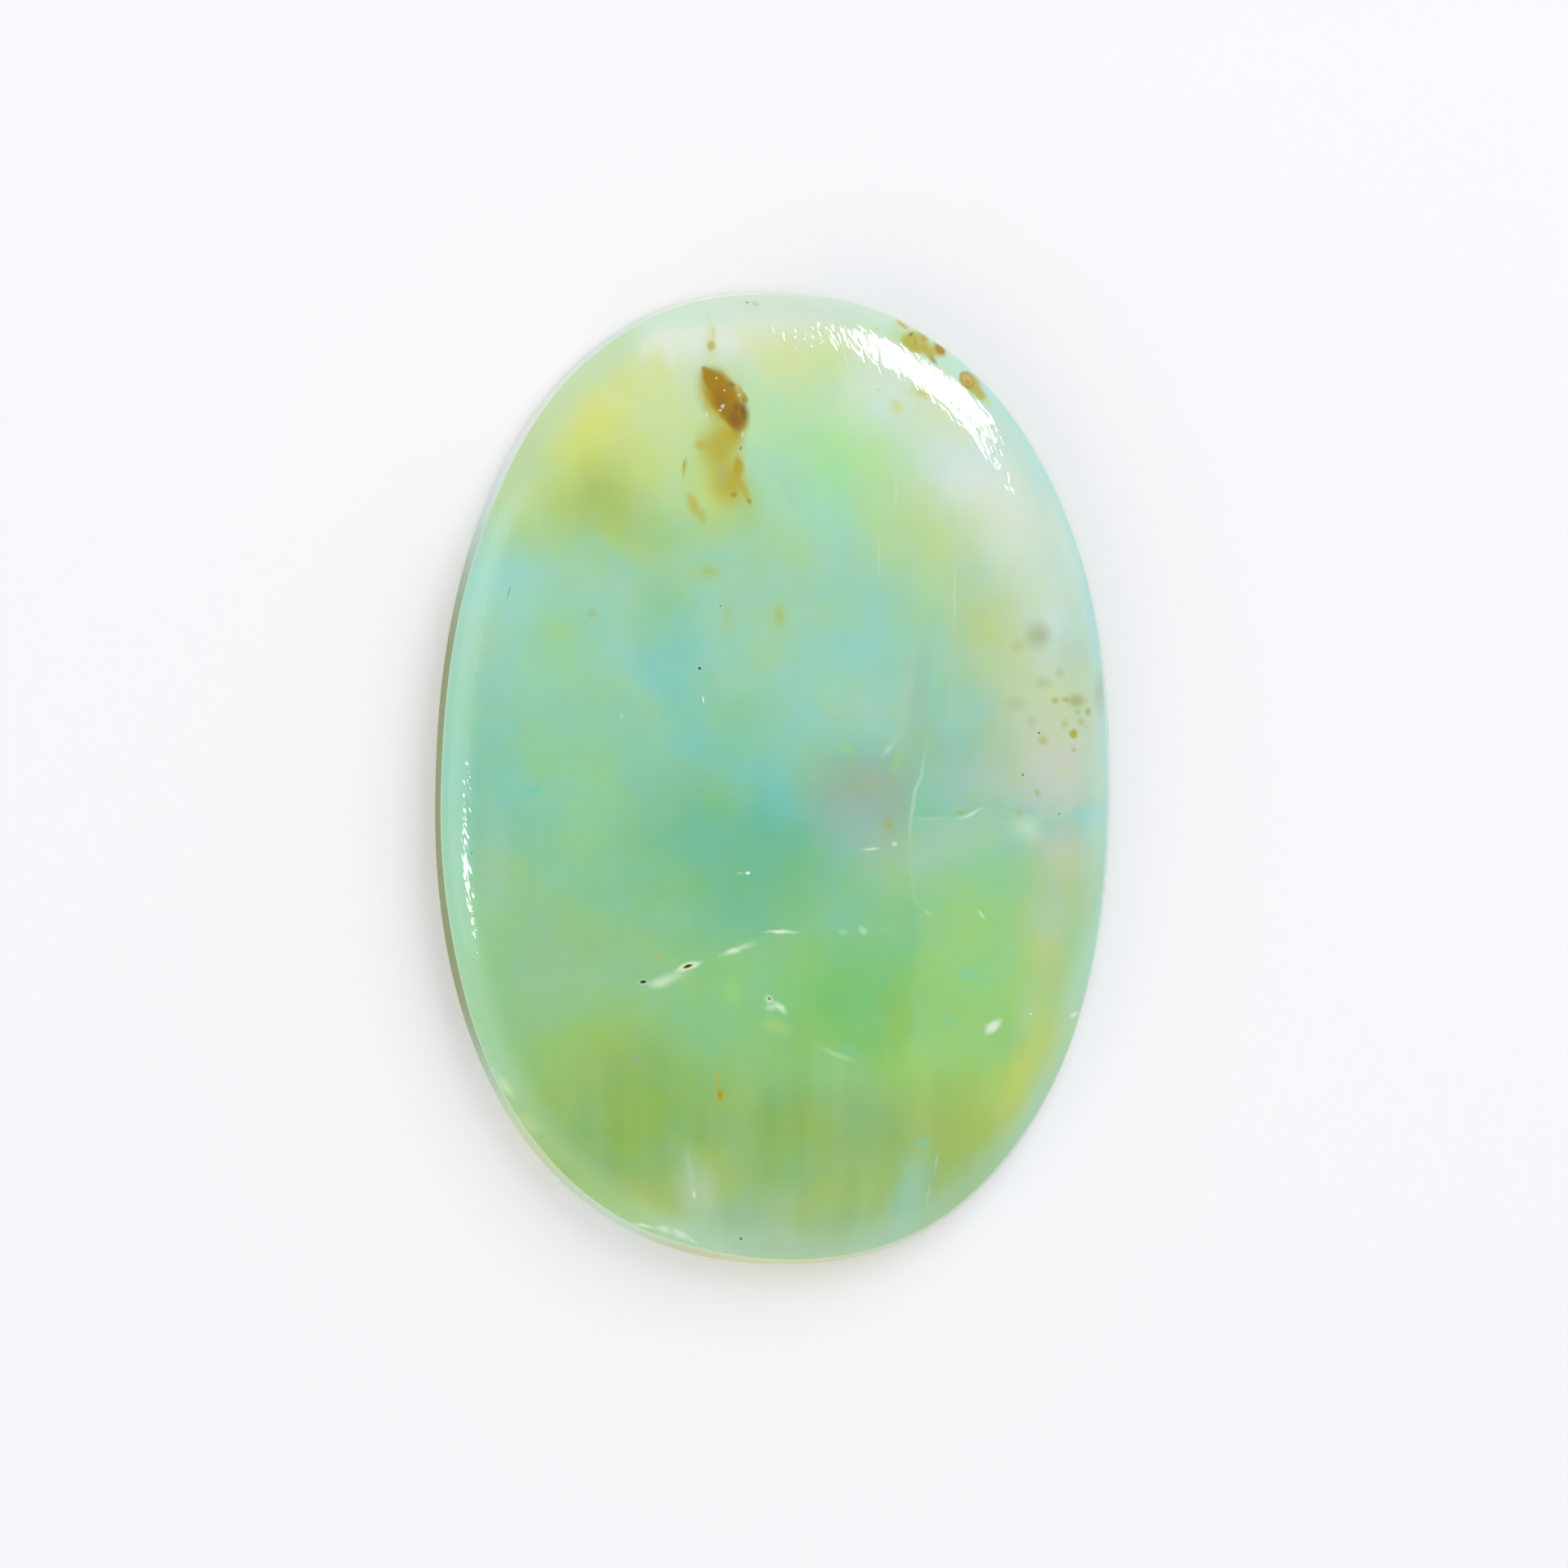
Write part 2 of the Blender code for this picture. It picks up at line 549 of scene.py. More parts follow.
SHEET_EDGE = 0.22
SHEET_THICKNESS = 0.17
SHEETS = [
    # name, corners, whether it stands upright, whether it shows as a line
    ("veil", VEIL, True, True),
    ("crack", CRACK, False, True),
    ("break", BREAK, False, False),
]
masks = {}
for name, corners, upright, as_line in SHEETS:
    offset = sheet_offset(corners, upright)
    for side, reach in (("beyond", SHEET_EDGE), ("before", -SHEET_EDGE)):
        masks[f"{side} {name}"] = add(
            tree, "ShaderNodeMapRange", {"Value": offset, "From Min": -reach, "From Max": reach},
            interpolation_type="SMOOTHSTEP", clamp=False,
        ).outputs[0]
    if not as_line:
        continue
    from_sheet = add(tree, "ShaderNodeMath", {0: offset}, operation="ABSOLUTE").outputs[0]
    masks[f"on {name}"] = add(
        tree, "ShaderNodeMapRange",
        {"Value": from_sheet, "From Min": SHEET_THICKNESS, "From Max": 0.0},
        interpolation_type="SMOOTHSTEP", clamp=False,
    ).outputs[0]
print(f"masks: {', '.join(masks)}")

# %% [markdown]
# ## Laying a mark
#
# Every cloud, stain and feather is an oval that fades out to its edge, laid over what is
# under it. Ovals that lean share one turned set of places for each lean, so the shader
# stays quick. A mark may keep to one side of a sheet, or to a level of the stone. The
# lists below have a row for each mark: its colour, its place across and up, its half
# width and half length, its lean, its strength, and where it needs them the share of it
# that fades and the side of a sheet that it keeps to.

# %% Marks
turned_places = {}


def turned(kind, lean):
    """The places of a kind in axes that lean by an angle, made once for each lean."""
    if (kind, lean) not in turned_places:
        turned_places[kind, lean] = add(
            tree, "ShaderNodeVectorRotate",
            {"Vector": places[kind], "Angle": math.radians(-lean)},
            rotation_type="Z_AXIS",
        ).outputs[0]
    return turned_places[kind, lean]


def lay_mark(
    under, kind, colour, across, up, half_wide, half_long, lean=0, strength=1.0, fade=1.0,
    within=None, level=0.0, half_high=1000.0,
):
    """Lay an oval mark of a palette colour over what is under it, faded at its edge."""
    turn = math.radians(lean)
    centre = (
        across * math.cos(turn) + up * math.sin(turn),
        up * math.cos(turn) - across * math.sin(turn),
        level,
    )
    size = (half_wide, half_long, half_high)
    local = add(
        tree, "ShaderNodeVectorMath",
        {
            0: turned(kind, lean),
            1: tuple(1 / s for s in size),
            2: tuple(-c / s for c, s in zip(centre, size)),
        },
        operation="MULTIPLY_ADD",
    ).outputs[0]
    reach = add(tree, "ShaderNodeVectorMath", {0: local}, operation="LENGTH").outputs["Value"]
    most = strength
    if within:
        most = add(tree, "ShaderNodeMath", {0: masks[within], 1: strength}, operation="MULTIPLY").outputs[0]
    cover = add(
        tree, "ShaderNodeMapRange",
        {"Value": reach, "From Min": 1.0, "From Max": 1.0 - fade, "To Min": 0.0, "To Max": most},
        interpolation_type="SMOOTHSTEP", clamp=False,
    ).outputs[0]
    return add(
        tree, "ShaderNodeMix", {0: cover, 6: under, 7: linear(PALETTE[colour])}, data_type="RGBA",
    ).outputs[2]


def lay_marks(under, kind, marks):
    """Lay a list of marks, each over the last."""
    for mark in marks:
        under = lay_mark(under, kind, *mark)
    return under


print("marks can be laid")

# %% [markdown]
# ## The ground colour
#
# From end to end the stone goes from pale spring green through mint and meadow green to
# moss, and pales again at its foot. One ramp along its length gives that ground, and the
# flow keeps the bands from being straight.

# %% Ground
GROUND = [
    # up, colour
    (-25.0, "acccac"),
    (-23.3, "9cc08a"),
    (-21.0, "98bc74"),
    (-18.0, "8cb66a"),
    (-15.0, "8fc074"),
    (-11.0, "8cc97c"),
    (-7.0, "86c58c"),
    (-3.0, "84c498"),
    (2.0, "8cc9a4"),
    (6.0, "98cfb0"),
    (10.0, "9dd0ac"),
    (12.5, "a4d2a0"),
    (16.0, "b4dca8"),
    (20.0, "c6e0b4"),
    (25.0, "dae6d2"),
]
GROUND_LOW = GROUND[0][0]
GROUND_REACH = GROUND[-1][0] - GROUND_LOW


def ground_tone():
    up = add(
        tree, "ShaderNodeVectorMath", {0: places["flow"], 1: UP}, operation="DOT_PRODUCT",
    ).outputs["Value"]
    share = add(
        tree, "ShaderNodeMapRange",
        {"Value": up, "From Min": GROUND_LOW, "From Max": GROUND_LOW + GROUND_REACH},
        clamp=False,
    ).outputs[0]
    ramp = add(tree, "ShaderNodeValToRGB", {"Fac": share})
    ramp.color_ramp.elements[0].color = linear(GROUND[0][1])
    ramp.color_ramp.elements[1].color = linear(GROUND[-1][1])
    for band_up, colour in GROUND[1:-1]:
        stop = ramp.color_ramp.elements.new((band_up - GROUND_LOW) / GROUND_REACH)
        stop.color = linear(colour)
    return ramp.outputs["Color"]


tone = ground_tone()
print(f"ground: {len(GROUND)} bands")

# %% [markdown]
# ## Clouds
#
# The clouds are zones of milky silica, copper green and iron yellow, each from one to ten
# millimetres across with no sharp edge. A mark looks about half as big as its size, as
# half of it is fade.

# %% Clouds
CLOUDS = [
    # the top
    ("milk", -3.2, 23.4, 8.0, 4.0, 0, 0.4),
    ("pear", -8.4, 22.0, 2.4, 1.7, 40, 0.6),
    ("milk", -6.1, 22.4, 1.9, 1.5, 30, 0.9),
    ("milk", -2.4, 22.3, 1.6, 1.3, 0, 0.6),
    ("milk", -4.8, 22.8, 2.4, 1.8, 0, 0.7),
    ("lemon", 0.6, 21.4, 4.0, 2.4, -10, 0.75),
    ("apple", -0.6, 19.3, 3.4, 3.4, 0, 0.3),
    ("milk", 4.8, 19.0, 3.6, 3.2, 30, 0.45),
    ("apple", 2.5, 20.2, 2.2, 1.8, 0, 0.25),
    ("apple", 3.6, 15.6, 4.6, 5.2, 40, 0.8),
    ("seafoam", 0.3, 14.8, 2.6, 4.6, 0, 0.6),
    ("seafoam", 2.8, 13.4, 5.4, 3.6, 0, 0.5),
    ("cool milk", 10.4, 14.4, 5.6, 9.8, 40, 1.0),
    ("cool milk", 14.4, 5.0, 4.6, 10.0, 10, 0.9),
    ("straw", 12.6, 5.2, 2.8, 3.2, 0, 0.45),
    ("pear", 7.0, 12.0, 3.2, 5.8, 30, 0.75),
    ("pear", 9.8, 12.4, 2.6, 2.8, 0, 0.35),
    ("straw", 10.7, 7.4, 3.8, 5.6, 10, 0.7),
    # upper left
    ("lemon", -9.2, 17.6, 7.0, 7.0, -20, 0.9),
    ("chartreuse", -9.0, 14.8, 5.0, 4.0, 0, 0.75),
    ("chartreuse", -7.2, 16.2, 2.4, 3.4, 0, 0.3),
    ("pear", -12.8, 15.0, 3.6, 3.8, 0, 0.6),
    ("pasture", -7.0, 12.5, 4.2, 3.2, 0, 0.9),
    ("pasture", -10.0, 12.4, 3.2, 2.2, 0, 0.6),
    ("olive", -9.6, 13.8, 3.1, 2.6, 0, 0.82),
    ("pear", -4.4, 16.0, 2.2, 4.0, 0, 0.35),
    ("pasture", -2.8, 12.4, 2.2, 2.4, 0, 0.4),
    ("seafoam", -14.4, 9.6, 4.4, 3.6, 0, 0.7),
    ("aqua", -8.4, 10.8, 3.6, 1.0, -20, 0.4),
    # the middle
    ("fern", -11.2, 6.6, 3.6, 4.6, -30, 0.5),
    ("meadow", -6.0, 8.6, 2.2, 2.6, 0, 0.55),
    ("aqua", -7.8, 2.2, 2.0, 2.2, 0, 0.3),
    ("mint", 3.5, 5.4, 7.0, 6.0, 0, 0.7),
    ("bright aqua", 2.4, 5.2, 3.2, 3.2, 0, 0.35),
    ("aqua", -5.8, 5.2, 2.4, 5.6, 10, 0.9),
    ("aqua", -4.8, 2.2, 2.6, 3.4, 0, 0.4),
    ("meadow", -2.8, 2.2, 3.2, 3.2, 20, 0.5),
    ("aqua", -1.6, -0.2, 6.0, 2.6, -40, 0.75),
    ("aqua", -13.8, 0.8, 2.8, 4.0, 0, 0.45),
    ("pale sage", -14.6, -4.4, 2.2, 5.0, 0, 0.45),
    ("fern", -10.0, -1.2, 4.6, 6.0, 10, 0.5),
    ("pasture", -11.8, -6.2, 4.4, 4.6, 0, 0.35),
    ("teal", -4.6, -2.6, 4.6, 5.4, -30, 0.55),
    ("teal", -0.9, -3.8, 5.8, 5.2, 0, 0.9),
    ("mauve", 4.2, -1.2, 4.8, 4.0, -20, 0.88, 1.0, "before veil"),
    ("sage grey", 6.8, 3.2, 2.0, 6.0, 0, 0.6, 1.0, "before veil"),
    ("sage grey", 4.6, -2.8, 3.6, 2.6, 0, 0.5, 1.0, "before veil"),
    ("sage grey", 9.6, 1.6, 4.6, 4.6, 0, 0.6, 1.0, "beyond veil"),
    ("seafoam", 9.6, 2.6, 2.8, 2.4, 0, 0.4, 1.0, "beyond veil"),
    ("pale sage", 4.4, 3.6, 3.2, 3.2, 0, 0.35, 1.0, "before veil"),
    ("lichen", 5.0, -0.2, 2.6, 2.6, 0, 0.5, 1.0, "before veil"),
    ("blush", 10.6, -0.8, 4.2, 2.6, 0, 0.35, 1.0, "beyond crack"),
    ("blush", 14.2, 0.4, 5.0, 5.4, 0, 0.8, 1.0, "beyond crack"),
    ("bright aqua", 16.2, -2.4, 1.8, 1.6, 0, 0.7, 1.0, "before crack"),
    ("pale sage", 10.6, -3.2, 6.0, 3.0, 0, 0.6, 1.0, "before crack"),
    ("pale spring", 12.6, -2.8, 1.8, 1.4, 0, 0.7, 1.0, "before crack"),
    ("pale sage", 7.6, -4.2, 5.6, 3.0, 0, 0.45),
    ("teal", -3.0, -6.8, 5.6, 3.2, 10, 0.65, 1.0, "beyond break"),
    ("aqua", -5.4, -7.4, 3.2, 1.8, 10, 0.4, 1.0, "beyond break"),
    ("aqua", 3.6, -7.2, 3.0, 1.6, 0, 0.12, 1.0, "beyond break"),
    # below the break
    ("fern", 2.8, -15.0, 2.6, 1.9, 0, 0.5),
    ("leaf", 1.0, -15.0, 3.2, 2.6, 0, 0.5),
    ("leaf", 3.8, -11.2, 6.2, 5.0, 0, 0.9, 1.0, "before break"),
    ("meadow", -2.0, -11.0, 5.0, 3.4, 20, 0.6, 1.0, "before break"),
    ("meadow lime", 6.0, -12.4, 2.6, 4.0, 0, 0.9, 1.0, "before veil"),
    ("lime", 10.4, -9.0, 6.0, 7.0, 0, 0.7, 1.0, "beyond veil"),
    ("fern", 10.2, -5.6, 4.6, 3.6, 0, 0.5, 1.0, "beyond veil"),
    ("lime", 8.6, -14.8, 5.0, 4.0, 0, 0.7),
    ("leaf", 4.8, -13.6, 2.4, 2.2, 0, 0.45),
    ("blush", 14.8, -4.2, 3.0, 3.6, 0, 0.65),
    ("straw", 14.2, -8.6, 3.6, 6.6, 0, 0.7),
    ("pale sage", 14.0, -7.2, 2.4, 2.4, 0, 0.5),
    ("lime", 12.6, -11.2, 2.6, 2.6, 0, 0.5),
    ("chartreuse", 12.7, -15.2, 2.3, 6.6, -30, 0.85),
    ("blush", 13.2, -11.6, 1.8, 2.6, -10, 0.2),
    # the olive foot
    ("sage grey", -12.6, -10.6, 4.0, 5.6, -20, 0.45),
    ("sage grey", -8.6, -10.2, 6.4, 4.8, 0, 0.32),
    ("olive", -8.2, -15.2, 5.0, 3.4, 10, 0.6),
    ("moss", -6.8, -16.6, 5.4, 5.0, 10, 0.75),
    ("moss", 0.0, -17.8, 3.2, 2.8, 0, 0.6),
    ("olive", -6.2, -21.8, 3.2, 2.8, 0, 0.8),
    ("moss", -0.6, -20.4, 2.6, 3.0, 0, 0.55),
    ("olive", 8.6, -18.0, 4.6, 4.0, -20, 0.7),
    ("olive", 2.6, -17.6, 2.2, 2.0, 0, 0.3),
    # painted light: a paler bottom rim, for the light that comes through the thin edge
    ("pale sage", 0.4, -25.0, 13.0, 2.2, 0, 0.5),
    ("pale sage", -4.4, -21.4, 1.4, 4.6, 10, 0.6),
    ("wedge blue", 6.6, -21.4, 1.9, 3.6, -10, 0.9),
]
tone = lay_marks(tone, "flow", CLOUDS)
print(f"clouds laid: {len(CLOUDS)}")

# %% [markdown]
# ## Mottling and fibres
#
# Inside a zone the colour still shifts a little, over one to four millimetres, between a
# cooler and a warmer green, and the lower third hangs full of fine upright fibres of
# silica about a millimetre apart. All are faint: about ten steps out of 255.

# %% Mottling
WARM, COOL = (0.60, 0.53, 0.24, 1.0), (0.38, 0.49, 0.78, 1.0)
LIGHT, DARK = (0.58, 0.58, 0.60, 1.0), (0.44, 0.44, 0.38, 1.0)
NOISE_LOW, NOISE_HIGH = 0.3, 0.7
FIBRES_FROM, FIBRES_FULL = -11.0, -19.0
MOTTLING = [
    # size in mm, detail, warm, cool, amount, within
    ((3.4, 3.8, 3.4), 2.5, WARM, COOL, 0.5),
    ((1.3, 1.6, 1.3), 2.5, LIGHT, DARK, 0.22),
    ((1.1, 9.0, 3.0), 1.5, LIGHT, DARK, 0.55, "low"),
]


def faint_noise(under, size_mm, detail, warm, cool, amount, within=None):
    """Shift a tone between a warm and a cool tint by a noise of a size in mm."""
    squeezed = add(
        tree, "ShaderNodeVectorMath", {0: in_mm, 1: tuple(1 / s for s in size_mm)},
        operation="MULTIPLY",
    ).outputs[0]
    cloud = add(
        tree, "ShaderNodeTexNoise", {"Vector": squeezed, "Scale": 1.0, "Detail": detail},
    ).outputs["Fac"]
    share = add(
        tree, "ShaderNodeMapRange",
        {"Value": cloud, "From Min": NOISE_LOW, "From Max": NOISE_HIGH},
        clamp=False,
    ).outputs[0]
    tint = add(tree, "ShaderNodeMix", {0: share, 6: cool, 7: warm}, data_type="RGBA").outputs[2]
    factor = amount
    if within:
        factor = add(tree, "ShaderNodeMath", {0: masks[within], 1: amount}, operation="MULTIPLY").outputs[0]
    return add(
        tree, "ShaderNodeMix", {0: factor, 6: under, 7: tint}, data_type="RGBA", blend_type="SOFT_LIGHT",
    ).outputs[2]


flow_up = add(
    tree, "ShaderNodeVectorMath", {0: places["flow"], 1: UP}, operation="DOT_PRODUCT",
).outputs["Value"]
masks["low"] = add(
    tree, "ShaderNodeMapRange",
    {"Value": flow_up, "From Min": FIBRES_FROM, "From Max": FIBRES_FULL},
    interpolation_type="SMOOTHSTEP", clamp=False,
).outputs[0]
for layer in MOTTLING:
    tone = faint_noise(tone, *layer)
print("mottling and fibres laid")

# %% [markdown]
# ## The pale shoulder
#
# On the rounded shoulder less stone lies behind the surface and light wells up through
# it. That light is painted into the colour: the whole rim is painted paler, milky at the
# top, aqua at the right, mint at the left and lime at the lower left, as a painted glow
# and a painted reflection of the pale room, and lighter on the left against the shade
# that the key light leaves there. Its marks also carry the zones' own colours round it.

# %% Shoulder
RIM_LIGHT_GROUND = "b8ead0"
RIM_EDGE = 3.75
RIM_FULL = 2.9
RIM_COVER = 0.55


def lay_band(under, over, value, edge, full, cover=1.0):
    """Lay a colour over a band: none where a value is at the edge, all of it where it is full."""
    share = add(
        tree, "ShaderNodeMapRange",
        {"Value": value, "From Min": edge, "From Max": full, "To Min": 0.0, "To Max": cover},
        interpolation_type="SMOOTHSTEP", clamp=False,
    ).outputs[0]
    return add(tree, "ShaderNodeMix", {0: share, 6: under, 7: over}, data_type="RGBA").outputs[2]


level = add(
    tree, "ShaderNodeVectorMath", {0: in_mm, 1: LEVEL}, operation="DOT_PRODUCT",
).outputs["Value"]
# painted light: the paler rim colours, a painted glow and reflection, with the zones' own colours
SHOULDER_PAINTED_LIGHT = [
    ("rim mint", -17.0, 3.0, 8.0, 17.0, 0, 1.0),
    ("rim spring", -15.0, -13.0, 8.0, 9.0, -30, 1.0),
    ("rim lime", -12.0, -19.5, 8.0, 3.6, -40, 0.95),
    ("rim sage", 1.0, -24.8, 11.0, 6.0, 0, 0.95),
    ("pasture", -9.4, -21.2, 5.0, 2.8, -30, 0.85),
    ("pasture", 0.4, -21.8, 4.0, 1.6, 0, 0.7),
    ("rim sage", 9.6, -21.6, 7.0, 3.4, 40, 0.8),
    ("rim aqua", 14.6, -13.0, 4.0, 9.0, -20, 0.8),
    ("chartreuse", 12.6, -15.6, 1.8, 6.4, -30, 0.8),
    ("pale sage", 15.6, -6.4, 3.0, 3.6, 0, 0.6),
    ("rim grey", 17.0, 3.0, 4.0, 12.0, 0, 0.9),
    ("pale aqua", 13.0, 15.0, 5.0, 13.0, 30, 1.0),
    ("milk", 14.4, 11.2, 3.0, 5.0, 20, 0.7),
    ("rim grey", 1.5, 24.0, 9.0, 4.0, 0, 1.0),
    ("pale spring", -9.0, 21.6, 7.0, 4.0, 40, 0.8),
    ("rim straw", -13.2, 16.8, 4.0, 6.0, -30, 0.95),
]
# the painted rim light is laid over the shoulder band, up to RIM_COVER of it
rim = lay_marks(linear(RIM_LIGHT_GROUND), "flow", SHOULDER_PAINTED_LIGHT)
tone = lay_band(tone, rim, level, RIM_EDGE, RIM_FULL, RIM_COVER)

# painted rim light: the outermost millimetre is painted bluer at the upper right, and a
# thin line of it at the right is a painted glint of the edge
tone = lay_mark(
    tone, "flow", "rim blue", 12.5, 16.0, 7.0, 12.0, 20, 0.85, level=2.2, half_high=1.2,
)
tone = lay_mark(
    tone, "flow", "rim blue", 16.5, 2.0, 5.0, 18.0, 0, 0.8, level=2.2, half_high=0.7,
)
print(f"shoulder zones laid: {len(SHOULDER_PAINTED_LIGHT)}")

# %% [markdown]
# ## Veils and cracks
#
# Where a healed sheet comes up to the polish it shows as a thin pale line, brightest
# where it stands most nearly upright. The lines use the sheets from above, and each
# feather or dash beside them is a narrow mark.

# %% Veils
VEILS = [
    ("feather", 7.0, -1.0, 1.4, 3.6, 0, 0.34, 0.9, "on veil"),
    ("pale spring", 6.7, -5.4, 1.4, 3.6, 0, 0.12, 0.9, "on veil"),
    ("feather", 9.7, -1.9, 1.0, 0.9, 0, 0.65, 0.9, "on crack"),
    ("feather", 12.6, -2.0, 3.4, 0.9, 0, 0.12, 0.9, "on crack"),
    ("feather", 7.8, -2.2, 1.6, 0.9, 0, 0.15, 0.9, "on crack"),
    ("mint", 7.9, 7.0, 0.4, 5.0, 0, 0.35),
    ("pale sage", 8.7, 6.0, 0.45, 5.0, 0, 0.35),
    ("pale sage", 6.4, 4.4, 0.5, 4.6, -10, 0.4),
    ("pale spring", 5.9, 14.4, 0.16, 1.4, 0, 0.5),
    ("pale spring", 5.0, 11.2, 0.12, 1.6, 0, 0.4),
    ("pale spring", 8.9, 9.2, 0.16, 2.6, 0, 0.4),
    ("mint", 0.4, 14.4, 0.5, 1.9, 30, 0.35),
    ("pale sage", 8.0, -19.7, 0.1, 0.8, -10, 0.7),
    ("pale sage", 7.6, -21.4, 0.1, 0.9, -10, 0.7),
    ("pale sage", -4.5, -20.4, 0.32, 2.2, 10, 0.5),
]
tone = lay_marks(tone, "ripple", VEILS)
print(f"veils laid: {len(VEILS)}")

# %% [markdown]
# ## Iron stains
#
# Iron came in along the old cracks and rusted: one leaf-shaped brown inclusion near the
# top with a stain running down from it, a cluster by the upper right rim, and a sprinkle
# of specks at the right. Stains have ragged edges, so they are laid on the ripple.

# %% The leaf and its stain
LEAF = [
    ("chartreuse", -3.4, 15.0, 2.4, 4.4, 0, 0.75),
    ("pasture", -1.7, 13.9, 1.3, 2.4, 10, 0.7),
    ("pear", -3.1, 19.6, 2.0, 3.0, 20, 0.7),
    ("flax", -3.5, 21.9, 0.55, 1.6, 0, 0.5),
    ("ochre", -3.1, 16.6, 1.6, 2.0, 10, 0.95, 0.9),
    ("ochre", -2.6, 17.2, 1.1, 1.0, 0, 0.9, 0.9),
    ("ochre", -4.0, 16.75, 0.6, 0.45, 0, 0.6, 0.9),
    ("ochre", -2.75, 14.8, 1.35, 1.8, 10, 0.9, 0.9),
    ("mustard", -2.35, 14.9, 0.5, 1.1, 10, 0.5, 0.9),
    ("lichen", -3.0, 15.2, 0.5, 0.9, 0, 0.35),
    ("mustard", -2.15, 15.7, 0.38, 0.75, 0, 0.95, 0.7),
    ("mustard", -2.1, 14.9, 0.3, 0.8, 20, 0.6, 0.9),
    ("ochre", -1.78, 14.3, 0.26, 0.8, 20, 0.85, 0.9),
    ("gold", -1.58, 13.9, 0.18, 0.2, 20, 0.6, 0.7),
    ("gold", -2.4, 14.25, 0.2, 0.2, 0, 0.6, 0.8),
    ("ochre", -4.5, 13.75, 0.4, 0.95, 20, 0.75, 0.9),
    ("ochre", -4.05, 13.15, 0.4, 0.65, 20, 0.55, 0.9),
    ("flax", -4.75, 14.5, 0.4, 0.3, 0, 0.6, 0.9),
    ("ochre", -4.9, 15.6, 0.18, 0.75, -10, 0.7, 0.9),
    ("gold", -4.92, 15.8, 0.06, 0.3, 0, 0.7, 0.8),
    ("gold", -2.2, 17.5, 0.5, 0.6, 10, 0.5),
    # the leaf itself
    ("ochre", -2.95, 19.1, 1.35, 2.3, 30, 1.0, 0.6),
    ("gold", -3.0, 19.4, 0.92, 1.8, 30, 1.0, 0.45),
    ("gold", -2.42, 18.45, 0.76, 1.3, 30, 1.0, 0.45),
    ("gold", -3.55, 20.2, 0.5, 0.65, 30, 1.0, 0.5),
    ("gold", -3.85, 20.6, 0.22, 0.3, 40, 0.8, 0.6),
    ("gold", -1.8, 19.15, 0.25, 0.4, 20, 0.8, 0.6),
    ("mustard", -2.5, 17.4, 0.55, 0.45, 0, 0.6),
    ("amber", -3.0, 19.1, 0.65, 1.1, 20, 0.7),
    ("rust", -2.3, 18.1, 0.6, 0.9, 20, 0.8, 0.9),
    ("mustard", -3.68, 19.35, 0.3, 0.75, 30, 0.45),
    ("umber", -2.45, 19.88, 0.32, 0.22, -30, 0.55, 0.9),
    ("umber", -1.85, 18.55, 0.3, 0.75, 10, 0.7, 0.9),
    ("umber", -2.25, 18.75, 0.28, 0.4, 0, 0.55, 1.0),
    ("mustard", -2.0, 19.5, 0.22, 0.5, 30, 0.8, 0.9),
    # painted glints: the snow and cream specks below stand for the sparkle of tiny crystals
    ("snow", -2.92, 18.78, 0.13, 0.18, -20, 0.6, 0.8),
    ("cream", -3.07, 18.55, 0.12, 0.1, 0, 0.8, 0.7),
    ("cream", -3.25, 20.2, 0.09, 0.08, 0, 0.9, 0.7),
    ("cream", -2.8, 19.6, 0.08, 0.08, 0, 0.7, 0.7),
    ("cream", -2.15, 19.35, 0.09, 0.08, 0, 0.8, 0.7),
    ("cream", -3.75, 18.35, 0.13, 0.16, 0, 0.8, 0.8),
    ("cream", -1.93, 17.35, 0.1, 0.2, 0, 0.7, 0.8),
    ("umber", -2.05, 16.62, 0.06, 0.14, -20, 0.7, 0.7),
    # the drop and the thread above it
    ("ochre", -3.5, 21.87, 0.26, 0.34, 0, 0.75, 0.6),
    ("flax", -3.4, 22.5, 0.16, 0.6, 0, 0.7),
    ("flax", -3.6, 23.4, 0.14, 0.4, 10, 0.5),
]
tone = lay_marks(tone, "ripple", LEAF)
print(f"leaf and stain laid: {len(LEAF)}")

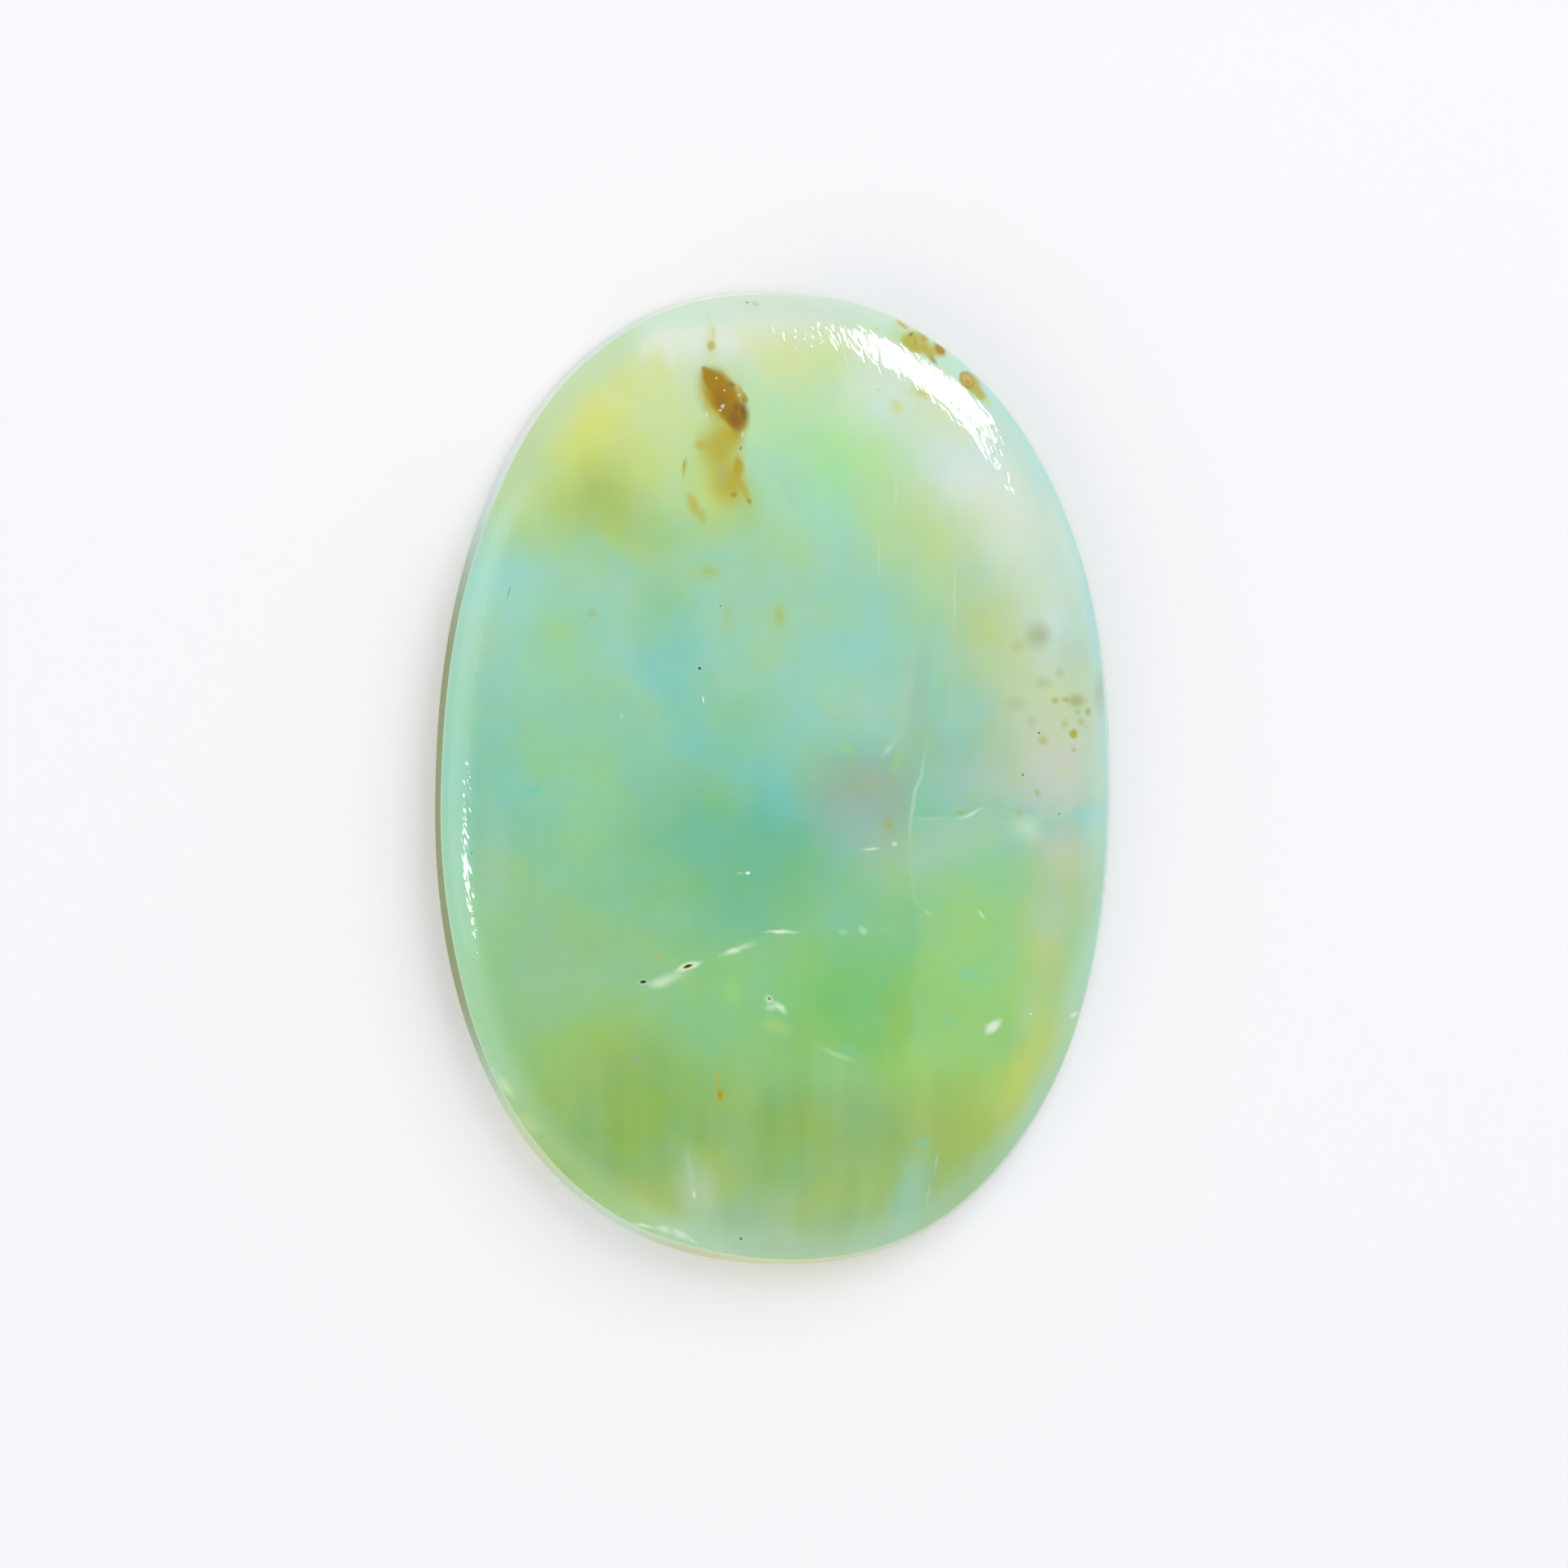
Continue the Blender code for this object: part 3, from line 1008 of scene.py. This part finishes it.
# %% Stains by the rim and specks
SPECKS = [
    # flakes of milk at the upper left
    ("milk", -6.0, 22.5, 1.3, 0.9, 30, 0.6),
    ("milk", -6.9, 21.7, 0.5, 0.9, -10, 0.5),
    ("milk", -5.6, 21.5, 0.6, 1.4, 0, 0.5),
    # by the upper right rim
    ("pear", 6.4, 22.5, 1.4, 1.0, -30, 0.8),
    ("honey", 6.4, 23.15, 0.55, 0.22, -40, 0.9, 0.8),
    ("ochre", 7.05, 22.2, 0.95, 0.8, 0, 0.9, 0.5),
    ("ochre", 7.75, 21.75, 0.7, 0.5, -40, 0.9, 0.8),
    ("gold", 7.55, 22.5, 0.42, 0.12, -40, 0.6, 0.9),
    ("gold", 7.05, 22.2, 0.12, 0.4, 10, 0.4, 0.9),
    ("honey", 7.4, 22.3, 0.4, 0.35, 0, 0.6, 0.8),
    ("amber", 7.45, 22.35, 0.16, 0.12, -30, 0.5),
    ("umber", 6.85, 22.6, 0.26, 0.09, 30, 0.7, 0.8),
    ("mustard", 8.3, 21.9, 0.66, 0.5, -40, 0.9, 0.7),
    ("gold", 8.35, 21.9, 0.44, 0.3, -40, 0.9, 0.6),
    ("gold", 7.95, 21.3, 0.5, 0.18, -50, 0.7, 0.8),
    ("ochre", 9.95, 20.1, 0.62, 0.95, 40, 0.9, 0.6),
    ("ochre", 10.4, 19.5, 0.42, 0.55, 40, 0.85, 0.8),
    ("gold", 9.68, 20.3, 0.46, 0.58, 30, 0.8, 0.35),
    ("honey", 9.7, 20.3, 0.38, 0.48, 30, 0.95, 0.4),
    ("rust", 9.75, 20.15, 0.24, 0.24, 30, 0.35),
    ("flax", 10.75, 19.15, 0.4, 0.25, -40, 0.9),
    ("flax", 7.2, 19.6, 0.9, 0.6, -20, 0.8),
    ("honey", 7.35, 19.45, 0.5, 0.3, -30, 0.4),
    ("flax", 6.0, 18.8, 0.5, 0.75, 40, 0.8),
    ("flax", 5.0, 22.85, 0.35, 0.25, 0, 0.6),
    # the sprinkle at the right
    ("lichen", 13.25, 7.15, 1.05, 1.1, 0, 0.82),
    ("fleck", 12.15, 6.6, 0.55, 0.55, 0, 0.35),
    ("pale sage", 14.8, 6.2, 2.0, 2.0, 0, 0.6),
    ("straw", 14.6, 3.9, 3.2, 3.4, 0, 0.6),
    ("lichen", 13.5, 4.75, 0.8, 0.5, 0, 0.45),
    ("lichen", 12.1, 3.65, 0.9, 0.6, 0, 0.45),
    ("lichen", 12.9, 2.75, 0.5, 0.5, 0, 0.35),
    ("lichen", 14.4, 5.25, 0.4, 0.4, 0, 0.4),
    ("lichen", 16.6, 4.3, 0.55, 1.6, 0, 0.45),
    ("fleck", 15.25, 3.9, 0.85, 0.55, 0, 0.6),
    ("lichen", 15.2, 3.85, 0.45, 0.4, 0, 0.7),
    ("fleck", 14.65, 3.92, 0.34, 0.24, 0, 0.65),
    ("fleck", 14.12, 3.8, 0.28, 0.24, 0, 0.7),
    ("fleck", 15.9, 3.3, 0.24, 0.34, 0, 0.85),
    ("fleck", 15.1, 2.15, 0.32, 0.32, 0, 0.9, 0.7),
    ("ochre", 15.1, 2.12, 0.2, 0.2, 0, 0.5),
    ("fleck", 13.5, 1.8, 0.42, 0.42, 0, 0.6),
    ("fleck", 14.6, 2.65, 0.34, 0.42, 0, 0.45),
    ("fleck", 15.5, 2.75, 0.36, 0.34, 0, 0.5),
    ("lichen", 15.3, 3.3, 0.25, 0.3, 0, 0.6),
    ("fleck", 15.85, 2.48, 0.26, 0.12, -20, 0.5),
    ("lichen", 15.1, 1.35, 0.22, 0.22, 0, 0.7),
    ("flax", 14.45, 0.25, 0.42, 0.38, 0, 0.4),
    ("fleck", 13.2, -0.9, 0.26, 0.26, 0, 0.7),
    ("fleck", 12.25, -2.0, 0.4, 0.4, 0, 0.35),
    ("flax", 15.6, 5.6, 0.4, 0.6, 0, 0.35),
    ("flax", 16.2, 5.4, 0.25, 0.25, 0, 0.5),
    # single flecks
    ("fleck", 9.15, -1.88, 0.34, 0.2, 0, 0.6),
    ("fleck", 5.5, -2.5, 0.4, 0.45, 0, 0.55),
    ("lime", 3.3, 1.35, 0.9, 0.6, -20, 0.5),
    ("lime", 5.9, 0.6, 0.5, 0.9, -20, 0.4),
    ("straw", 2.5, 3.3, 0.6, 0.25, 0, 0.6),
    ("pasture", -0.1, 7.9, 0.8, 1.5, 0, 0.6),
    ("fleck", -0.1, 8.1, 0.4, 0.8, 0, 0.4),
    ("fleck", -9.6, 8.2, 0.35, 0.4, -10, 0.5),
    ("lime", -11.5, 7.2, 1.6, 1.3, 0, 0.3),
    ("pasture", -3.8, 10.3, 1.4, 0.8, 0, 0.7),
    ("fleck", -3.6, 10.3, 0.7, 0.35, 0, 0.3),
    ("honey", -5.2, 0.4, 0.16, 0.16, 0, 0.7),
    ("honey", -6.3, -9.35, 0.26, 0.26, 0, 0.6),
    ("mustard", -3.05, -16.2, 0.26, 0.42, 0, 1.0, 0.7),
    ("gold", -3.05, -16.2, 0.16, 0.26, 0, 0.6),
    ("ochre", -3.2, -15.4, 0.24, 0.7, 0, 0.6),
    ("mauve", -7.3, -14.5, 0.24, 0.2, 0, 0.9, 0.9),
    ("lime", -2.4, -10.9, 0.9, 1.2, 0, 0.45),
    ("meadow lime", 6.1, -12.8, 1.0, 1.6, 0, 0.7),
    ("chartreuse", -0.2, -12.8, 1.2, 0.6, -20, 0.35),
    ("pear", -12.7, -17.7, 1.1, 0.5, -40, 0.6),
    ("moss", -11.0, -20.3, 1.5, 0.9, -50, 0.45),
    ("bright teal", -12.6, -0.8, 0.7, 0.4, 20, 0.8),
    ("bright teal", 9.6, -10.15, 1.0, 0.4, 10, 0.4),
    ("bright teal", 8.6, -12.6, 0.7, 0.5, 0, 0.35),
    ("bright teal", 3.5, -14.0, 0.6, 0.6, 10, 0.3),
    ("bright teal", 7.3, -18.7, 0.5, 0.4, 0, 0.5),
    ("bright teal", 6.0, -21.1, 0.3, 0.4, 0, 0.5),
    ("olive", -2.7, 8.1, 0.6, 1.6, 0, 0.3),
]
tone = lay_marks(tone, "ripple", SPECKS)
print(f"stains and specks laid: {len(SPECKS)}")

# %% [markdown]
# ## Feathers and pits
#
# Along the break the stone is feathered white. The few open pits are darkened: that is
# painted shade of the hollows, taken also as dark polishing dirt. A few pale dots by
# chips and cracks are painted glints.

# %% Feathers
FEATHERS = [
    ("feather", -5.7, -10.35, 1.4, 0.46, 20, 0.5),
    ("feather", -6.2, -10.6, 0.8, 0.4, 10, 0.5),
    ("feather", -4.72, -9.73, 0.85, 0.26, 20, 1.0, 0.7),
    ("cream", -4.72, -9.73, 0.42, 0.17, 20, 0.9, 0.5),
    ("feather", -6.98, -10.52, 0.3, 0.2, 0, 0.9, 0.8),
    ("feather", -2.2, -8.85, 1.35, 0.24, 20, 0.55),
    ("feather", -2.5, -8.95, 0.5, 0.2, 10, 0.8),
    ("feather", 0.0, -8.0, 1.25, 0.15, 0, 0.75),
    ("snow", -0.1, -7.98, 0.55, 0.08, 0, 0.7),
    ("feather", 3.15, -8.0, 0.4, 0.2, 0, 0.25),
    ("feather", 4.2, -7.9, 0.42, 0.24, -40, 0.45),
    ("feather", -0.62, -11.4, 0.34, 0.28, -20, 0.85),
    ("feather", -0.05, -11.8, 0.62, 0.26, -40, 0.85),
    ("feather", -0.5, -11.8, 0.5, 0.3, 0, 0.5),
    ("feather", 10.9, -12.8, 0.72, 0.36, 40, 0.95, 0.8),
    # painted glint on the chipped right edge
    ("feather", 15.2, -12.2, 0.4, 0.22, 30, 0.9),
    ("snow", 12.85, -12.1, 0.1, 0.1, 0, 0.9),
    ("pale spring", 2.9, -14.2, 1.3, 0.22, -20, 0.4),
    ("feather", 4.6, -3.75, 0.65, 0.13, 0, 0.75),
    ("feather", 5.8, -3.5, 0.22, 0.2, 0, 0.85),
    ("pale aqua", 5.45, 1.3, 0.75, 0.26, 50, 0.6),
    ("feather", 10.3, -7.1, 0.45, 0.12, -50, 0.7),
    ("feather", 7.5, -7.0, 0.4, 0.12, -40, 0.3),
    ("feather", -8.1, 3.0, 0.2, 0.25, 0, 0.25),
    ("snow", -3.97, 3.8, 0.06, 0.3, 20, 0.9),
    # painted shade: the dark line in the scratch beside the white one
    ("shade and grime", -4.04, 3.75, 0.04, 0.25, 20, 0.3),
    ("feather", -4.35, -21.3, 0.12, 0.3, 10, 0.9),
    ("feather", -6.8, -22.95, 0.8, 0.18, -10, 0.85),
    ("feather", -5.85, -23.1, 0.6, 0.28, -20, 0.75),
    ("feather", -5.0, -23.35, 0.75, 0.28, -30, 0.8),
    ("feather", -4.35, -23.7, 0.4, 0.12, -40, 0.6),
    # painted highlight on the chipped crest at the lower left
    ("pale spring", -13.9, -15.8, 1.0, 0.4, -50, 0.8),
    ("feather", -14.7, -15.0, 0.5, 0.2, 0, 0.4),
    # painted glint: a tiny white dot by a crack
    ("snow", -1.72, -5.0, 0.15, 0.12, 0, 1.0, 0.7),
    ("feather", -2.1, -5.0, 0.3, 0.1, 0, 0.35),
    # painted shade: the dark marks below sit in the pits and stand for the shade of the hollows
    ("shade and grime", -6.98, -10.52, 0.22, 0.11, 0, 1.0, 0.4),
    ("shade and grime", -4.72, -9.73, 0.3, 0.11, 20, 1.0, 0.5),
    ("shade and grime", -0.62, -11.36, 0.15, 0.08, -30, 0.8, 0.6),
    ("feather", -4.15, 5.38, 0.12, 0.18, 0, 0.6),
    ("shade and grime", -4.15, 5.4, 0.08, 0.12, 20, 1.0, 0.5),
    ("shade and grime", -3.1, 8.55, 0.05, 0.04, 0, 0.9, 0.5),
    ("shade and grime", -13.8, 9.3, 0.03, 0.42, -10, 0.6, 0.6),
    ("shade and grime", 13.27, 2.2, 0.06, 0.06, 0, 1.0, 0.5),
    ("shade and grime", 12.43, 0.05, 0.09, 0.05, -50, 0.9, 0.5),
    ("shade and grime", 14.3, -1.93, 0.06, 0.05, 0, 1.0, 0.5),
    ("feather", -1.95, -23.6, 0.2, 0.12, -50, 0.6),
    ("shade and grime", -1.95, -23.6, 0.16, 0.07, -50, 0.9, 0.6),
    ("shade and grime", -15.65, -4.0, 0.05, 0.03, 0, 1.0, 0.5),
    ("shade and grime", 5.02, 19.7, 0.04, 0.05, 0, 0.7, 0.6),
    ("shade and grime", -1.6, 24.2, 0.08, 0.07, 0, 0.7, 0.8),
    ("lichen", -1.2, 24.15, 0.4, 0.2, 0, 0.4),
]
tone = lay_marks(tone, "ripple", FEATHERS)
print(f"feathers laid: {len(FEATHERS)}")

# %% [markdown]
# ## The girdle
#
# The girdle wall below the crest was only sanded. Its colours are largely painted
# reflection and painted shine-through of the surroundings, olive on the left, white at
# the upper left and cream at the foot, and painted light enough to offset the shade near
# the floor. The crest above it is a line of about a tenth of a millimetre, painted pale as
# a highlight and taken also as frosting, and the bevel below it is as dull as the wall,
# and painted creamier as a glint, also taken as sanding.

# %% Girdle, crest and bevel
CREST_LEVEL = 2.2
CREST_LINE = 0.1
CREST_FROST_AND_HIGHLIGHT = 0.5
GIRDLE_EDGE = 2.22
GIRDLE_FULL = 2.12
BEVEL_EDGE = 0.42
BEVEL_FULL = 0.3
BEVEL_FROST_AND_GLINT = 0.6

# painted reflection and shine-through of the surroundings on the girdle wall
WALL_REFLECTIONS = [
    ("wall olive", -19.0, -2.0, 10.0, 22.0, 0, 1.0, 0.6),
    ("milk", -13.5, 20.0, 10.0, 11.0, 0, 1.0),
    ("milk", -3.0, 25.0, 9.0, 5.0, 0, 1.0),
    ("straw", -12.0, -19.0, 9.0, 8.0, 0, 0.8),
    ("flax", 1.0, -25.0, 14.0, 8.0, 0, 1.0),
    ("honey", -5.0, -24.4, 4.0, 3.0, 0, 0.4),
]
girdle = lay_marks(linear(PALETTE["rim aqua"]), "flow", WALL_REFLECTIONS)
tone = lay_band(tone, girdle, level, GIRDLE_EDGE, GIRDLE_FULL)

above_crest = add(tree, "ShaderNodeMath", {0: level, 1: CREST_LEVEL}, operation="SUBTRACT").outputs[0]
from_crest = add(tree, "ShaderNodeMath", {0: above_crest}, operation="ABSOLUTE").outputs[0]
# painted highlight: a pale line along the crest, taken also as frosting
tone = lay_band(tone, linear(PALETTE["feather"]), from_crest, CREST_LINE, 0.0, CREST_FROST_AND_HIGHLIGHT)
# painted glint: a cream band on the bevel, taken also as sanding
tone = lay_band(tone, linear(PALETTE["cream"]), level, BEVEL_EDGE, BEVEL_FULL, BEVEL_FROST_AND_GLINT)
print(f"girdle zones laid: {len(WALL_REFLECTIONS)}")

# %% [markdown]
# ## Gloss
#
# Opal takes a bright polish: index of refraction 1.45 and a roughness near 0.08 on the
# dome. The shoulder was polished by hand on a felt wheel, whose strokes stay as shallow
# streaks that fray the inner edge of a reflection. The real ones are about 0.1 mm wide,
# and they are drawn 0.24 mm wide and 0.8 mm long so that they survive at a distance.
# The girdle and the bevel were only sanded, so they are duller. The scattering under
# the skin gives opal its soft glow.

# %% Gloss and polish
STROKE_LEAN = math.radians(62)
STROKE_SIZE = (0.8, 0.24, 0.24)
STROKE_DEPTH = 0.028 * MM
STROKES_FROM, STROKES_FULL = 2.9, 3.4
STROKES_FADE, STROKES_END = 3.72, 3.95
POLISHED, SANDED = 0.08, 0.28
POLISHED_LEVEL, SANDED_LEVEL = 2.3, 2.1
REFRACTION = 1.45
GLOW = 0.05
GLOW_REACH = 1.2 * MM

turned_strokes = add(
    tree, "ShaderNodeVectorRotate", {"Vector": places["ripple"], "Angle": STROKE_LEAN},
    rotation_type="Z_AXIS",
).outputs[0]
stroke_place = add(
    tree, "ShaderNodeVectorMath", {0: turned_strokes, 1: tuple(1 / s for s in STROKE_SIZE)},
    operation="MULTIPLY",
).outputs[0]
strokes = add(
    tree, "ShaderNodeTexNoise", {"Vector": stroke_place, "Scale": 1.0, "Detail": 1.0},
).outputs["Fac"]
above_rim = add(
    tree, "ShaderNodeMapRange",
    {"Value": level, "From Min": STROKES_FROM, "From Max": STROKES_FULL},
    interpolation_type="SMOOTHSTEP",
).outputs[0]
on_shoulder = add(
    tree, "ShaderNodeMapRange",
    {"Value": level, "From Min": STROKES_END, "From Max": STROKES_FADE, "To Max": above_rim},
    interpolation_type="SMOOTHSTEP",
).outputs[0]
bump = add(
    tree, "ShaderNodeBump", {"Strength": on_shoulder, "Distance": STROKE_DEPTH, "Height": strokes},
).outputs["Normal"]
dullness = add(
    tree, "ShaderNodeMapRange",
    {
        "Value": level, "From Min": POLISHED_LEVEL, "From Max": SANDED_LEVEL,
        "To Min": POLISHED, "To Max": SANDED,
    },
).outputs[0]

tree.links.new(tone, shader.inputs["Base Color"])
tree.links.new(dullness, shader.inputs["Roughness"])
tree.links.new(bump, shader.inputs["Normal"])
shader.inputs["IOR"].default_value = REFRACTION
shader.inputs["Subsurface Weight"].default_value = GLOW
shader.inputs["Subsurface Radius"].default_value = (1.0, 1.0, 1.0)
shader.inputs["Subsurface Scale"].default_value = GLOW_REACH
opal.data.materials.append(material)
print(f"{material.name}: {len(tree.nodes)} nodes")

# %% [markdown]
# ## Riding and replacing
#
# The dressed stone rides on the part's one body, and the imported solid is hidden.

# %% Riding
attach(opal, "root")
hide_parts("opal_cabochon")

# %% [markdown]
# ## The floor
#
# A sheet of matt white paper, big enough to fill any view. It belongs to the studio and
# not to the part.

# %% Floor
FLOOR_REACH = 1.5
PAPER_WHITE = "f9f8fa"


def studio_floor():
    bpy.ops.mesh.primitive_plane_add(size=2 * FLOOR_REACH, location=(0, 0, 0))
    floor = bpy.context.object
    floor.name = "studio_floor"
    paper = bpy.data.materials.new("matt_white_paper")
    paper.use_nodes = True
    sheet = paper.node_tree.nodes["Principled BSDF"]
    sheet.inputs["Base Color"].default_value = linear(PAPER_WHITE)
    sheet.inputs["Roughness"].default_value = 0.9
    sheet.inputs["Specular IOR Level"].default_value = 0.0
    floor.data.materials.append(paper)


studio_floor()
print(f"floor: {2 * FLOOR_REACH:.0f} m across")

# %% [markdown]
# ## The camera
#
# The camera looks almost straight down. It leans a little to the left, which is why the
# girdle wall shows on the left and hides on the right. A long lens, set well back, keeps
# the perspective flat.

# %% Camera
LENS = 150.0
SENSOR = 36.0
FRAME_WIDTH = 80.63 * MM
TILT_LEFT = math.radians(5.0)
TILT_DOWN = math.radians(1.5)
AIM = Vector((0.52 * MM, -0.36 * MM, 0.3 * MM))


def photo_camera():
    data = bpy.data.cameras.new("camera")
    data.lens = LENS
    data.sensor_width = SENSOR
    data.clip_start = 0.01
    data.clip_end = 10
    camera = bpy.data.objects.new("camera", data)
    bpy.context.scene.collection.objects.link(camera)
    distance = FRAME_WIDTH * LENS / SENSOR
    away = Vector((-math.tan(TILT_LEFT), -math.tan(TILT_DOWN), 1)).normalized()
    right = Vector((0, 1, 0)).cross(away).normalized()
    up = away.cross(right)
    turn = Matrix((right, up, away)).transposed().to_4x4()
    camera.matrix_world = Matrix.Translation(AIM + away * distance) @ turn
    bpy.context.scene.camera = camera
    return distance


print(f"camera {photo_camera() / MM:.0f} mm away")

# %% [markdown]
# ## The lights
#
# A bright white room lights the stone softly from all sides. A softbox at the upper right
# models it, and a weaker one at the lower left fills in. What a polished stone shows most
# is the reflections of its lights, and those are set apart from the diffuse light so that
# each can be tuned: two softboxes side by side give the bright band along the upper right
# shoulder, a small one gives the thin streak down the left, and a wide dim one gives the
# pale glow of a wall at the left.

# %% Lights
WORLD_COLOUR = "fbfafc"
WORLD_STRENGTH = 0.72
LIGHT_DISTANCE = 0.6


def softbox(name, azimuth, elevation, spread_wide, spread_high, radiance, shape="RECTANGLE", roll=0):
    """A flat soft light, sized by the angles it fills as seen from the stone."""
    data = bpy.data.lights.new(name, "AREA")
    data.shape = shape
    data.size = 2 * LIGHT_DISTANCE * math.tan(math.radians(spread_wide) / 2)
    data.size_y = 2 * LIGHT_DISTANCE * math.tan(math.radians(spread_high) / 2)
    area = data.size * data.size_y * (math.pi / 4 if shape == "ELLIPSE" else 1)
    data.energy = radiance * math.pi * area
    lamp = bpy.data.objects.new(name, data)
    bpy.context.scene.collection.objects.link(lamp)
    turn, lift = math.radians(azimuth), math.radians(elevation)
    away = Vector((math.cos(turn) * math.cos(lift), math.sin(turn) * math.cos(lift), math.sin(lift)))
    lamp.location = away * LIGHT_DISTANCE
    roll_turn = Quaternion((0, 0, 1), math.radians(roll))
    lamp.rotation_euler = (away.to_track_quat("Z", "Y") @ roll_turn).to_euler()
    lamp.visible_camera = False
    return lamp


def studio_world():
    world = bpy.data.worlds.new("studio")
    bpy.context.scene.world = world
    world.use_nodes = True
    sky = world.node_tree.nodes["Background"]
    sky.inputs["Color"].default_value = linear(WORLD_COLOUR)
    sky.inputs["Strength"].default_value = WORLD_STRENGTH


studio_world()
lamps = [
    # name, azimuth, elevation, spread wide, spread high, radiance
    softbox("key", 55, 40, 38, 45, 2.0),
    softbox("fill", 225, 30, 60, 40, 1.1),
]
shines = [
    softbox("top_right_shine", 57, 46.5, 15, 36, 36.0, roll=20),
    softbox("right_shine", 44.5, 31.5, 12, 27, 36.0),
    softbox("left_shine", 185, 28.7, 9.5, 3.4, 60.0, "ELLIPSE"),
    softbox("left_wall_shine", 172, 18, 40, 38, 0.9),
]
for lamp in lamps:
    lamp.visible_glossy = False
for shine in shines:
    shine.visible_diffuse = False
bpy.context.scene.view_settings.view_transform = "Standard"
print(f"lights: {len(lamps) + len(shines)}")
